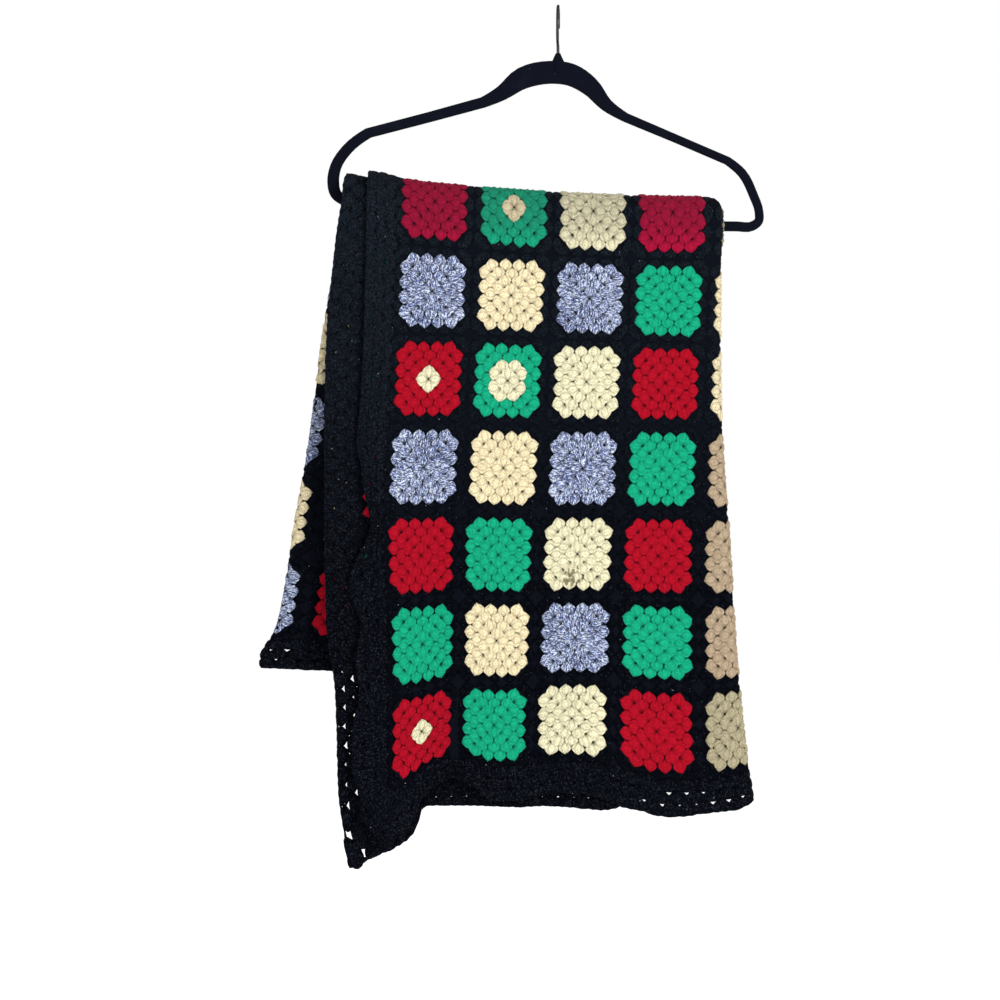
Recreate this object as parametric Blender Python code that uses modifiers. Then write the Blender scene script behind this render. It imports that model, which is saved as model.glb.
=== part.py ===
"""Granny square blanket, folded in four and draped over the bar of a slim clothes hanger.

Metres, +Z up. The origin is the inner crown of the hanger's hook, where a rail would carry it.
X runs along the bar to the wearer's left, -Y is the front of the blanket.
The blanket is laid out flat in (u, v): u runs across its 17 columns of squares, v along its
12 rows, and the function drape() folds that flat sheet over the bar.
"""

import math

import bmesh
import bpy

MM = 0.001

# ---------------------------------------------------------------- driving dimensions (mm)
WIRE_RADIUS = 1.5            # hook wire
HOOK_INNER_RADIUS = 17.0
HOOK_NECK_RADIUS = 12.0      # reverse bend between the curl and the shank
SHANK_FOOT = -67.0           # z of the wire's lower end, inside the hanger
BORE_CLEARANCE = 0.35
BORE_RADIUS = WIRE_RADIUS + BORE_CLEARANCE

HANGER_DEPTH = 6.0
HANGER_EDGE = 2.2            # rounding of every long edge
CORNER_STEPS = 3             # facets of each rounded edge
LONG_RUN = 45.0              # stretches of the ring over this are straight
BEND_STEPS = 4               # facets of each shorter stretch
BOSS_TOP = -45.8
BOSS_BASE = -54.0
BOSS_FOOT = -75.0
BOSS_BASE_RADIUS = 6.1
BOSS_FOOT_RADIUS = 2.4
BOSS_TOP_RADIUS = 2.35
BOSS_OVERLAP = 0.4
TOOL_SIDES = 24

BAR_HEIGHT = 10.0
BAR_LEFT_X, BAR_LEFT_Z = -208.0, -197.4
BAR_RIGHT_X = 190.0
BAR_SLOPE = -0.0582          # the hanger hangs a little askew
BAR_SAG = 6.5                # the blanket's weight bows the bar

COLUMNS, ROWS = 17, 12
COLUMN_PITCH, ROW_PITCH = 80.0, 88.0
BORDER = 30.0
BLANKET_WIDTH = COLUMNS * COLUMN_PITCH + 2 * BORDER
BLANKET_LENGTH = ROWS * ROW_PITCH + 2 * BORDER
CLOTH = 4.0                  # thickness of the crochet
LAYER_PITCH = 7.0            # from one layer of the folded blanket to the next
BAR_GAP = 0.5                # under the innermost layer, where it lies on the bar
SIDE_GAP = 2.2               # beside the bar, where the innermost layer hangs clear
CROWN_HALF_DEPTH = HANGER_DEPTH / 2 + SIDE_GAP + CLOTH / 2
CROWN_HEIGHT = BAR_HEIGHT / 2 + BAR_GAP + CLOTH / 2
HOLE_U, HOLE_V = 5.5, 5.5    # gaps between the clusters of the border

# The closed ring of the hanger, clockwise from the top of its arch: centre line and half width.
# Along the bar, z is that of the bowed bar.
RING = [
    # x, z, half_width
    (-8, -65, 11.5), (13, -67.5, 11.3), (32, -79, 9.7), (49, -98, 6.6), (68, -110.5, 4.7),
    (119, -132, 4.2), (171, -154.3, 4.3), (186, -167, 4.6), (197.5, -189.5, 4.5),
    (203, -206, 4.4), (202.5, -215.5, 4.5), (196, -220.4, 4.8),
    *[(x, None, 5.0) for x in (180, 110, 40, -30, -100, -160, -200)],
    (-214, -195.2, 5.2), (-224.5, -187.5, 5.8), (-227, -176, 6.0),
    (-224.5, -160.5, 5.7), (-212.5, -142.3, 5.5), (-191.5, -126.3, 5.3), (-131, -110.5, 5.2),
    (-76, -95.5, 5.5), (-57, -86, 7.6), (-36, -71, 11.0),
]

# Where the four-fold bundle lies, by the height below the bar (back drop negative, mm):
# x of the first column's outer line, of the three folds and of the edge under the top layer.
LINES = [
    # drop, first_column, outer_fold, left_fold, inner_fold, under_edge
    (-480, -182, 99, -301, 88, -241),
    (-445, -181, 103, -285, 92, -240),
    (-420, -180, 106, -279, 95, -240),
    (-350, -177, 115, -268.5, 104, -236),
    (-250, -173, 129, -251.5, 118, -231),
    (-130, -168, 146, -236, 135, -225),
    (-50, -164, 157, -219, 146, -219),
    (-12, -163, 160, -207, 150, -214),
    (0, -163, 162, -204, 151, -213),
    (12, -163, 164, -202, 153, -216),
    (60, -164, 161.5, -196, 151.5, -224),
    (140, -167, 161, -184, 151, -232),
    (230, -172, 163, -170, 153, -234),
    (330, -176, 170, -150, 159, -234),
    (430, -172, 176, -132, 165, -232),
    (500, -171, 182, -119, 171, -223),
    (560, -171, 189.5, -108, 177.5, -221),
    (600, -170, 196, -102, 183, -220),
    (645, -166, 198, -98, 185, -214),
    (670, -164, 199, -96, 186, -210),
]

# Fold lines on the flat blanket, by v: u of the outer, left and inner fold.
FOLD_LINES = [
    # v, outer, left, inner
    (0, 313, 693, 1091),
    (200, 335, 689, 1084),
    (480, 366, 712, 1074),
    (640, 370, 711, 1068),
    (760, 377, 711, 1058),
    (860, 388, 710, 1040),
    (960, 394, 710, 1018),
    (1116, 406, 710, 996),
]

# The front drop's free edge, drawn in and out in soft waves, by drop.
FREE_EDGE = [
    # drop, x
    (-480, -212), (-130, -198), (-20, -192), (0, -191), (50, -192), (130, -194), (199, -197),
    (252, -201), (268, -197), (288, -195), (311, -190), (328, -187), (343, -191), (360, -200),
    (379, -207), (392, -208), (429, -197), (465, -202),
    (496, -198), (536, -205), (568, -205), (608, -196), (622, -193), (640, -185), (655, -176),
]

# By fold number (0 front edge, 1 outer, 2 left, 3 inner, 4 under edge):
# the line that lies on top of the bar, and the length of cloth from there to the side.
CROWN_LINE = [(0, 476), (1, 492.5), (2, 508), (3, 500), (4, 452)]
CROWN_REACH = [(0, 44.5), (1, 28), (2, 17), (3, 28), (4, 33.5)]

# How far below the bar the back drop's lower edge hangs, along u.
BACK_LOWER_EDGE = [(0, 431), (350, 464), (700, 475), (1060, 472), (1420, 419)]

# The same for the front drop: a gentle line, how it droops beside the crease and at the
# corners, and the lower edge's own ripples.
FRONT_FALL = [
    # u, drop
    (0, 594), (60, 592), (106, 586), (150, 588), (200, 588), (406, 578), (710, 592),
    (1000, 588), (1300, 600), (1420, 612),
]
DROOP = [
    # u, drop
    (0, 620), (30, 611), (70, 599), (106, 584), (130, 580), (150, 582), (190, 576), (230, 567),
    (265, 571), (290, 581), (315, 590), (350, 590), (380, 582), (406, 575), (560, 578),
    (710, 590), (1000, 578), (1100, 578), (1200, 594), (1300, 600), (1340, 606), (1420, 640),
]
LOWER_EDGE = [
    # u, drop
    (0, 627), (8, 634), (16, 637), (24, 637), (31, 634), (41, 626), (53, 619), (59, 610),
    (68, 593), (80, 581), (91, 575), (106, 570), (114, 573), (128, 577), (136, 583),
    (144, 589.5), (178, 588), (189, 584.5), (200, 581), (219, 577.5), (236, 577.5), (251, 580.5),
    (264, 585), (275, 589.5), (292, 592.5), (305, 596.5), (314, 597), (332, 595.5), (345, 592),
    (369, 588), (380, 586), (395, 580), (425, 568), (560, 572), (710, 588), (850, 580),
    (1000, 570), (1085, 574), (1108, 584), (1124, 589), (1133, 592), (1146, 594), (1168, 593.5),
    (1200, 594), (1235, 597), (1269, 597.5), (1311, 600), (1325, 601), (1331, 602), (1334, 605),
    (1340, 619), (1349, 632), (1362, 641), (1392, 654), (1420, 666),
]

# How the rows of the front drop ease out of the bar's slope: extra fall at each side, by drop.
ROW_EASE = [
    # drop, left, right
    (0, 2, 2), (90, 5, 2), (180, 6.5, -2), (360, 7, -2), (560, 6, -5), (670, 6, -5),
]
EASE_SPAN = 150.0            # half the width over which it goes from the one to the other
# Low down, the crease draws the columns of the top layer to the left.
DRAWN_LEFT = 12.0
DRAWN_START, DRAWN_END = 230.0, 560.0
# How close to the lower edge the droop and the ripples stay.
DROOP_POWER, RIPPLE_POWER = 4.0, 18.0

BOW_FADE = 130.0

# Both free edges roll up a little where they cross the bar: height, distance, fade down a drop.
TOP_ROLL, TOP_ROLL_WIDTH = 5.0, 60.0
UNDER_ROLL, UNDER_ROLL_WIDTH = 7.0, 60.0
ROLL_FADE = 80.0

PLEAT_U, PLEAT_WIDTH, PLEAT_DEPTH = 106.0, 13.0, 11.0
PLEAT_START, PLEAT_END = 430.0, 620.0
SWAY = 6.0                   # soft waves that all the layers of a drop share


# ---------------------------------------------------------------- small helpers
def smoothstep(low, high, value):
    t = min(1.0, max(0.0, (value - low) / (high - low)))
    return t * t * (3 - 2 * t)


def curve_through(table, key, column=1):
    """A smooth value read from a table: cubic between its rows, with limited slopes."""
    rows = table
    if key <= rows[0][0]:
        return rows[0][column]
    if key >= rows[-1][0]:
        return rows[-1][column]
    i = 0
    while rows[i + 1][0] < key:
        i += 1

    def slope(a):
        if a <= 0 or a >= len(rows) - 1:
            return 0.0
        before = (rows[a][column] - rows[a - 1][column]) / (rows[a][0] - rows[a - 1][0])
        after = (rows[a + 1][column] - rows[a][column]) / (rows[a + 1][0] - rows[a][0])
        if before * after <= 0:
            return 0.0
        return 2 * before * after / (before + after)

    span = rows[i + 1][0] - rows[i][0]
    t = (key - rows[i][0]) / span
    low, high = rows[i][column], rows[i + 1][column]
    m0, m1 = slope(i) * span, slope(i + 1) * span
    return (
        (2 * t**3 - 3 * t**2 + 1) * low + (t**3 - 2 * t**2 + t) * m0
        + (3 * t**2 - 2 * t**3) * high + (t**3 - t**2) * m1
    )


def straight_through(table, key, column=1):
    """A value read from a table by straight lines between its rows."""
    for low, high in zip(table, table[1:]):
        if key <= high[0]:
            t = max(0.0, (key - low[0]) / (high[0] - low[0]))
            return low[column] + t * (high[column] - low[column])
    return table[-1][column]


def level_z(x):
    """The straight line from one end of the bar to the other."""
    return BAR_LEFT_Z + (x - BAR_LEFT_X) * BAR_SLOPE


def bar_z(x):
    """The bowed bar's centre line."""
    middle, half = (BAR_LEFT_X + BAR_RIGHT_X) / 2, (BAR_RIGHT_X - BAR_LEFT_X) / 2
    return level_z(x) - BAR_SAG * max(0.0, 1 - ((x - middle) / half) ** 2)


def hung_z(x, hang):
    """Height of what hangs this far below the bar: the bow fades away within a row."""
    bow = level_z(x) - bar_z(x)
    return bar_z(x) - hang + bow * smoothstep(0, BOW_FADE, hang)


# ---------------------------------------------------------------- the folded, draped sheet
# Folds from front to under edge: radius in layers, and the layer on either side of each.
# Layer 0 lies on the bar, layer 3 is the one that shows.
FOLDS = [
    # name, layer_before, layer_after, side (+1 right, -1 left)
    ("outer", 3, 0, 1),
    ("left", 0, 1, -1),
    ("inner", 1, 2, 1),
]


def fold_radius(fold):
    return abs(fold[1] - fold[2]) * LAYER_PITCH / 2


def fold_number(u, lines):
    """0 at the front edge, 1, 2 and 3 at the folds, 4 at the under edge."""
    marks = [0.0, *lines, BLANKET_WIDTH]
    return straight_through([(mark, n) for n, mark in enumerate(marks)], u)


def across(u, v, drop):
    """Where the folded section puts a point: its x, and its layer."""
    centres = []
    for column, fold in zip((2, 3, 4), FOLDS):
        tip = curve_through(LINES, drop, column)
        centres.append(tip - fold[3] * fold_radius(fold))
    first_column = curve_through(LINES, drop, 1)
    lines = [curve_through(FOLD_LINES, v, c) for c in (1, 2, 3)]
    halves = [math.pi * fold_radius(fold) / 2 for fold in FOLDS]
    if u < BORDER:
        edge = curve_through(FREE_EDGE, drop)
        return edge + (first_column - edge) * u / BORDER, 3.0
    start_u, start_x, layer = BORDER, first_column, 3.0
    for line, half, centre, fold in zip(lines, halves, centres, FOLDS):
        if u < line - half:
            t = (u - start_u) / (line - half - start_u)
            return start_x + (centre - start_x) * t, layer
        if u < line + half:
            turn = (u - line + half) / (2 * half) * math.pi
            middle = (fold[1] + fold[2]) / 2
            reach = (fold[1] - fold[2]) / 2
            x = centre + fold[3] * fold_radius(fold) * math.sin(turn)
            return x, middle + reach * math.cos(turn)
        start_u, start_x, layer = line + half, centre, fold[2]
    t = (u - start_u) / (BLANKET_WIDTH - start_u)
    under_edge = curve_through(LINES, drop, 5)
    return start_x + (under_edge - start_x) * t, layer


def sway(x, drop):
    """Outward waves of a whole drop: none at the bar, soft folds towards the lower edge."""
    grown = smoothstep(20, 560, abs(drop)) * SWAY
    if drop > 0:
        return grown * (0.55 * math.sin(x / 41.0 + 0.6) + 0.45 * math.sin(x / 19.0 - 0.8) + 0.3)
    return grown * (0.7 * math.sin(x / 47.0 - 1.0) + 0.3 * math.sin(x / 23.0) + 0.2)


def pleat(u, drop):
    """The top layer bulges forward on both sides of a crease near its lower left corner."""
    grown = smoothstep(PLEAT_START, PLEAT_END, drop) * PLEAT_DEPTH
    bulge = 1 - math.exp(-(((u - PLEAT_U) / PLEAT_WIDTH) ** 2))
    return grown * bulge * (1 - smoothstep(120, 260, u))


def edge_curl(u, drop):
    """Where the free edge is drawn in, it also curls forward."""
    if drop < 0 or u > 2 * BORDER:
        return 0.0
    drawn = curve_through(FREE_EDGE, drop) - curve_through(LINES, drop, 1) + BORDER + 4
    return max(0.0, 0.25 * drawn) * (1 - smoothstep(0, 2 * BORDER, u)) * smoothstep(10, 60, drop)


def edge_roll(u, hang):
    """In layers: how far a free edge stands off near the bar."""
    top = TOP_ROLL * (1 - smoothstep(0, TOP_ROLL_WIDTH, u))
    under = UNDER_ROLL * smoothstep(BLANKET_WIDTH - UNDER_ROLL_WIDTH, BLANKET_WIDTH, u)
    return (top + under) / LAYER_PITCH * (1 - smoothstep(0, ROLL_FADE, hang))


def drawn_left(u, drop):
    last = BORDER + 4 * COLUMN_PITCH
    if not BORDER < u < last:
        return 0.0
    pull = math.sin((u - BORDER) / (last - BORDER) * math.pi)
    return DRAWN_LEFT * pull * smoothstep(DRAWN_START, DRAWN_END, drop)


def drape(u, v):
    """Point of the flat blanket, in mm, taken to its place on the hanger, in mm."""
    number = fold_number(u, [curve_through(FOLD_LINES, v, c) for c in (1, 2, 3)])
    along = v - straight_through(CROWN_LINE, number)
    reach = straight_through(CROWN_REACH, number)
    if abs(along) <= reach:
        turn = along / reach * math.pi / 2
        x, layer = across(u, v, 12 * math.sin(turn))
        layer += edge_roll(u, 0)
        y = -(CROWN_HALF_DEPTH + layer * LAYER_PITCH) * math.sin(turn)
        return x, y, bar_z(x) + (CROWN_HEIGHT + layer * LAYER_PITCH) * math.cos(turn)
    hang = abs(along) - reach
    if along < 0:
        hang *= curve_through(BACK_LOWER_EDGE, u) / (straight_through(CROWN_LINE, number) - reach)
        x, layer = across(u, v, -hang - 12)
        layer += edge_roll(u, hang)
        return x, CROWN_HALF_DEPTH + layer * LAYER_PITCH + sway(x, -hang), hung_z(x, hang)
    full = BLANKET_LENGTH - straight_through(CROWN_LINE, number) - reach
    share = hang / full
    gentle, droop = curve_through(FRONT_FALL, u), curve_through(DROOP, u)
    hang = gentle * share + (droop - gentle) * share**DROOP_POWER
    hang += (curve_through(LOWER_EDGE, u) - droop) * share**RIPPLE_POWER
    x, layer = across(u, v, hang + 12)
    out = CROWN_HALF_DEPTH + (layer + edge_roll(u, hang)) * LAYER_PITCH + sway(x, hang)
    if layer == 3:
        out += pleat(u, hang) + edge_curl(u, hang)
        x -= drawn_left(u, hang)
    left, right = (curve_through(ROW_EASE, hang, column) for column in (1, 2))
    ease = left + (right - left) * smoothstep(-EASE_SPAN, EASE_SPAN, x)
    ease *= 1 - smoothstep(0.8, 1.0, share)
    return x, -out, hung_z(x, hang) - ease * smoothstep(0, 60, hang)


# ---------------------------------------------------------------- grid lines of the sheet
FLAT_STEPS = (
    # layer between folds: shares of its width
    (0.0, 0.06, 0.11, 0.16, 0.21, 0.26, 0.35, 0.48, 0.61, 0.74, 0.87, 1.0),
    (0.0, 0.17, 0.34, 0.5, 0.66, 0.83, 1.0),
    (0.0, 0.17, 0.34, 0.5, 0.66, 0.83, 1.0),
    (0.0, 0.14, 0.29, 0.44, 0.58, 0.71, 0.81, 0.9, 1.0),
)
FOLD_STEPS = (6, 4, 4)
BACK_STEPS, CROWN_STEPS, FRONT_STEPS = 8, 8, 11


def grid_columns(v):
    """u of every grid line that runs along the blanket, at this v."""
    lines = [curve_through(FOLD_LINES, v, c) for c in (1, 2, 3)]
    halves = [math.pi * fold_radius(fold) / 2 for fold in FOLDS]
    starts = [BORDER] + [line + half for line, half in zip(lines, halves)]
    ends = [line - half for line, half in zip(lines, halves)] + [BLANKET_WIDTH - BORDER]
    found = [0.0]
    for n, (start, end) in enumerate(zip(starts, ends)):
        found += [start + share * (end - start) for share in FLAT_STEPS[n]]
        if n < 3:
            step = 2 * halves[n] / FOLD_STEPS[n]
            found += [end + step * k for k in range(1, FOLD_STEPS[n])]
    return found + [BLANKET_WIDTH]


def grid_rows(u, v):
    """v of every grid line that runs across the blanket, near this u."""
    number = fold_number(u, [curve_through(FOLD_LINES, v, c) for c in (1, 2, 3)])
    crown = straight_through(CROWN_LINE, number)
    reach = straight_through(CROWN_REACH, number)
    stretches = (
        (BORDER, crown - reach, BACK_STEPS),
        (crown - reach, crown + reach, CROWN_STEPS),
        (crown + reach, BLANKET_LENGTH - BORDER, FRONT_STEPS),
    )
    found = [0.0, BORDER]
    for start, end, count in stretches:
        found += [start + (end - start) * k / count for k in range(1, count + 1)]
    return found + [BLANKET_LENGTH]


def between(values, index):
    low = min(int(index), len(values) - 2)
    return values[low] + (index - low) * (values[low + 1] - values[low])


def flat_place(column, row):
    """(u, v) of a grid place, given by its column and row number."""
    v = BLANKET_LENGTH * row / (BACK_STEPS + CROWN_STEPS + FRONT_STEPS + 2)
    for _ in range(6):
        u = between(grid_columns(v), column)
        v = between(grid_rows(u, v), row)
    return u, v


# ---------------------------------------------------------------- materials and objects
def material(name, colour, roughness, metallic=0.0):
    made = bpy.data.materials.new(name)
    made.use_nodes = True
    shader = made.node_tree.nodes["Principled BSDF"]
    shader.inputs["Base Color"].default_value = (*colour, 1.0)
    shader.inputs["Roughness"].default_value = roughness
    shader.inputs["Metallic"].default_value = metallic
    return made


def add_object(name, mesh, collection, finish=None):
    made = bpy.data.objects.new(name, mesh)
    collection.objects.link(made)
    if finish:
        mesh.materials.clear()
        mesh.materials.append(finish)
    return made


def mesh_from_curve(curve_object, name):
    """The evaluated curve as a mesh with welded caps; the curve itself is removed."""
    bpy.context.view_layer.update()
    graph = bpy.context.evaluated_depsgraph_get()
    mesh = bpy.data.meshes.new_from_object(curve_object.evaluated_get(graph))
    mesh.name = name
    shape = bmesh.new()
    shape.from_mesh(mesh)
    bmesh.ops.remove_doubles(shape, verts=shape.verts, dist=1e-6)
    bmesh.ops.recalc_face_normals(shape, faces=shape.faces)
    if shape.calc_volume(signed=True) < 0:
        bmesh.ops.reverse_faces(shape, faces=shape.faces)
    shape.to_mesh(mesh)
    shape.free()
    bpy.data.objects.remove(curve_object)
    return mesh


def shade(mesh, degrees=40):
    mesh.shade_smooth()
    mesh.set_sharp_from_angle(angle=math.radians(degrees))


# ---------------------------------------------------------------- blanket
def crochet_sheet():
    """The blanket as an open sheet in its draped place, with the border's gaps cut."""
    columns = len(grid_columns(0.0)) - 1
    rows = BACK_STEPS + CROWN_STEPS + FRONT_STEPS + 2
    sheet = bmesh.new()
    bmesh.ops.create_grid(sheet, x_segments=columns, y_segments=rows, size=0.5)
    for vert in sheet.verts:
        vert.co.x = round((vert.co.x + 0.5) * columns)
        vert.co.y = round((vert.co.y + 0.5) * rows)

    def in_border(face):
        middle = face.calc_center_median()
        wide = middle.x < 1 or middle.x > columns - 1
        long = middle.y < 1 or middle.y > rows - 1
        return wide or long

    def runs_on_border(edge):
        a, b = edge.verts[0].co, edge.verts[1].co
        middle = (a + b) / 2
        if abs(a.x - b.x) > abs(a.y - b.y):
            return (middle.y < 1.5 or middle.y > rows - 1.5) and 1 < middle.x < columns - 1
        return (middle.x < 1.5 or middle.x > columns - 1.5) and 1 < middle.y < rows - 1

    def cells():
        return [face for face in sheet.faces if in_border(face)]

    split = [edge for edge in sheet.edges if runs_on_border(edge)]
    bmesh.ops.subdivide_edges(sheet, edges=split, cuts=1, use_grid_fill=True)
    holes = []
    for face in cells():
        if len(face.verts) != 4:
            continue
        places = [flat_place(vert.co.x, vert.co.y) for vert in face.verts]
        size_u = max(p[0] for p in places) - min(p[0] for p in places)
        size_v = max(p[1] for p in places) - min(p[1] for p in places)
        if size_u > 2.2 * HOLE_U and size_v > 2.2 * HOLE_V:
            holes.append((face, size_u, size_v))
    for face, size_u, size_v in holes:
        middle = face.calc_center_median()
        spread = (
            max(v.co.x for v in face.verts) - min(v.co.x for v in face.verts),
            max(v.co.y for v in face.verts) - min(v.co.y for v in face.verts),
        )
        bmesh.ops.inset_individual(sheet, faces=[face], thickness=0.1)
        for vert in face.verts:
            vert.co.x = middle.x + math.copysign(
                spread[0] * HOLE_U / size_u / 2, vert.co.x - middle.x)
            vert.co.y = middle.y + math.copysign(
                spread[1] * HOLE_V / size_v / 2, vert.co.y - middle.y)
    bmesh.ops.delete(sheet, geom=[hole[0] for hole in holes], context="FACES")
    for vert in sheet.verts:
        place = drape(*flat_place(vert.co.x, vert.co.y))
        vert.co = [value * MM for value in place]
    return sheet


def build_blanket(collection):
    mesh = bpy.data.meshes.new("blanket")
    sheet = crochet_sheet()
    sheet.to_mesh(mesh)
    sheet.free()
    made = add_object("blanket", mesh, collection, material("crochet", (0.02, 0.025, 0.04), 0.95))
    solid = made.modifiers.new("thickness", "SOLIDIFY")
    solid.thickness = CLOTH * MM
    solid.offset = 0.0
    shade(mesh, 70)
    return made


# ---------------------------------------------------------------- hanger
def ring_stations():
    """Centre-line points, directions and half widths round the ring, close together in bends."""
    ring = [(x, bar_z(x) if z is None else z, half) for x, z, half in RING]
    count = len(ring)

    def chord(a, b):
        return math.dist(ring[a % count][:2], ring[b % count][:2])

    def rate(n):
        """Change of x, z and half width for each mm along the line, at a point of the table."""
        before, after = chord(n - 1, n), chord(n, n + 1)
        last, here, following = (ring[k % count] for k in (n - 1, n, n + 1))
        return [
            ((b - a) / before * after + (c - b) / after * before) / (before + after)
            for a, b, c in zip(last, here, following)
        ]

    stations = []
    for n in range(count):
        span = chord(n, n + 1)
        start, end = ring[n], ring[(n + 1) % count]
        start_rate, end_rate = rate(n), rate(n + 1)
        steps = BEND_STEPS if span < LONG_RUN else 1
        for k in range(steps):
            t = k / steps
            place = [
                (2 * t**3 - 3 * t**2 + 1) * p + (t**3 - 2 * t**2 + t) * span * m
                + (3 * t**2 - 2 * t**3) * q + (t**3 - t**2) * span * o
                for p, m, q, o in zip(start, start_rate, end, end_rate)
            ]
            lean = [
                (6 * t**2 - 6 * t) * p + (3 * t**2 - 4 * t + 1) * span * m
                + (6 * t - 6 * t**2) * q + (3 * t**2 - 2 * t) * span * o
                for p, m, q, o in zip(start, start_rate, end, end_rate)
            ]
            stations.append((place, lean))
    return stations


def bar_section(half_width):
    """Rounded rectangle across the ring: pairs of distance outwards and depth."""
    edge = min(HANGER_EDGE, half_width - 0.5)
    corners = [(1, 1), (-1, 1), (-1, -1), (1, -1)]
    points = []
    for corner, (out, deep) in enumerate(corners):
        for step in range(CORNER_STEPS + 1):
            angle = math.radians(90 * (corner + step / CORNER_STEPS))
            points.append((
                out * (half_width - edge) + edge * math.cos(angle),
                deep * (HANGER_DEPTH / 2 - edge) + edge * math.sin(angle),
            ))
    return points


def ring_mesh():
    """The hanger's closed ring, lofted from one rounded section to the next."""
    ring = bmesh.new()
    loops = []
    for (x, z, half), (dx, dz, _) in ring_stations():
        length = math.hypot(dx, dz)
        loops.append([
            ring.verts.new((
                (x - dz / length * out) * MM, deep * MM, (z + dx / length * out) * MM))
            for out, deep in bar_section(half)
        ])
    for here, following in zip(loops, loops[1:] + loops[:1]):
        for k in range(len(here)):
            after = (k + 1) % len(here)
            ring.faces.new((here[k], here[after], following[after], following[k]))
    if ring.calc_volume(signed=True) < 0:
        bmesh.ops.reverse_faces(ring, faces=ring.faces)
    mesh = bpy.data.meshes.new("hanger_body")
    ring.to_mesh(mesh)
    ring.free()
    return mesh


def build_hanger(collection, cutters):
    mesh = ring_mesh()
    made = add_object("hanger_body", mesh, collection, material("flock", (0.01, 0.011, 0.018), 0.9))
    # The boss swells from the arch to its widest place, then narrows to the wire.
    swell = BOSS_BASE + BOSS_OVERLAP
    add_tool("hanger_swell", (BOSS_FOOT, swell), (BOSS_FOOT_RADIUS, BOSS_BASE_RADIUS),
             made, "UNION", cutters)
    add_tool("hanger_boss", (BOSS_BASE, BOSS_TOP), (BOSS_BASE_RADIUS, BOSS_TOP_RADIUS),
             made, "UNION", cutters)
    add_tool("hanger_bore", (SHANK_FOOT - BORE_CLEARANCE, BOSS_TOP + BORE_CLEARANCE),
             (BORE_RADIUS, BORE_RADIUS), made, "DIFFERENCE", cutters)
    shade(mesh)
    return made


def add_tool(name, heights, radii, target, operation, cutters):
    """A cone on the shank's axis, from low to high, joined to or cut from the target."""
    low, high = heights
    shape = bmesh.new()
    bmesh.ops.create_cone(
        shape, cap_ends=True, segments=TOOL_SIDES, radius1=radii[0] * MM,
        radius2=radii[1] * MM, depth=(high - low) * MM)
    mesh = bpy.data.meshes.new(name)
    shape.to_mesh(mesh)
    shape.free()
    helper = add_object(name, mesh, cutters)
    helper.location = (0, 0, (low + high) / 2 * MM)
    helper.hide_render = True
    helper.display_type = "WIRE"
    change = target.modifiers.new(name, "BOOLEAN")
    change.operation = operation
    change.object = helper
    change.solver = "EXACT"


def hook_points():
    """Wire centre line in the YZ plane: shank, reverse bend, then the curl."""
    radius = HOOK_INNER_RADIUS + WIRE_RADIUS
    middle = -HOOK_INNER_RADIUS
    neck = HOOK_NECK_RADIUS
    # The reverse bend touches the shank (y = 0) and the curl, beyond it on the +Y side.
    neck_z = middle - math.sqrt((radius + neck) ** 2 - neck**2)
    lean = math.atan2(middle - neck_z, -neck)
    points = [(0.0, SHANK_FOOT), (0.0, BOSS_TOP), (0.0, neck_z)]
    turns = 5
    for n in range(1, turns + 1):
        angle = math.pi - (math.pi - lean) * n / turns
        points.append((neck + neck * math.cos(angle), neck_z + neck * math.sin(angle)))
    start = lean - math.pi
    tip = math.radians(205)
    turns = 20
    for n in range(1, turns + 1):
        angle = start + (tip - start) * n / turns
        points.append((radius * math.cos(angle), middle + radius * math.sin(angle)))
    return points


def build_hook(collection):
    curve = bpy.data.curves.new("hanger_hook", "CURVE")
    curve.dimensions = "3D"
    curve.bevel_depth = WIRE_RADIUS * MM
    curve.bevel_resolution = 2
    curve.use_fill_caps = True
    spline = curve.splines.new("POLY")
    points = hook_points()
    spline.points.add(len(points) - 1)
    for point, (y, z) in zip(spline.points, points):
        point.co = (0.0, y * MM, z * MM, 1.0)
    mesh = mesh_from_curve(add_object("hook_line", curve, collection), "hanger_hook")
    finish = material("steel", (0.75, 0.75, 0.76), 0.2, 1.0)
    made = add_object("hanger_hook", mesh, collection, finish)
    shade(mesh)
    return made


def main():
    for old in list(bpy.data.objects):
        bpy.data.objects.remove(old)
    parts = bpy.data.collections.new("granny_square_blanket")
    cutters = bpy.data.collections.new("cutters")
    bpy.context.scene.collection.children.link(parts)
    bpy.context.scene.collection.children.link(cutters)
    build_hook(parts)
    build_hanger(parts, cutters)
    build_blanket(parts)


main()
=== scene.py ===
"""Granny square blanket, folded in four over a slim flocked hanger: the dressed part.

The crochet is made flat in (u, v), the millimetres of the blanket laid out, and drape() folds
every stitch over the bar as the CAD model folds the plain sheet, apart from the small slides of
joint_pull() and crown_pull(). The frame is in metres.
"""

import math

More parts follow.
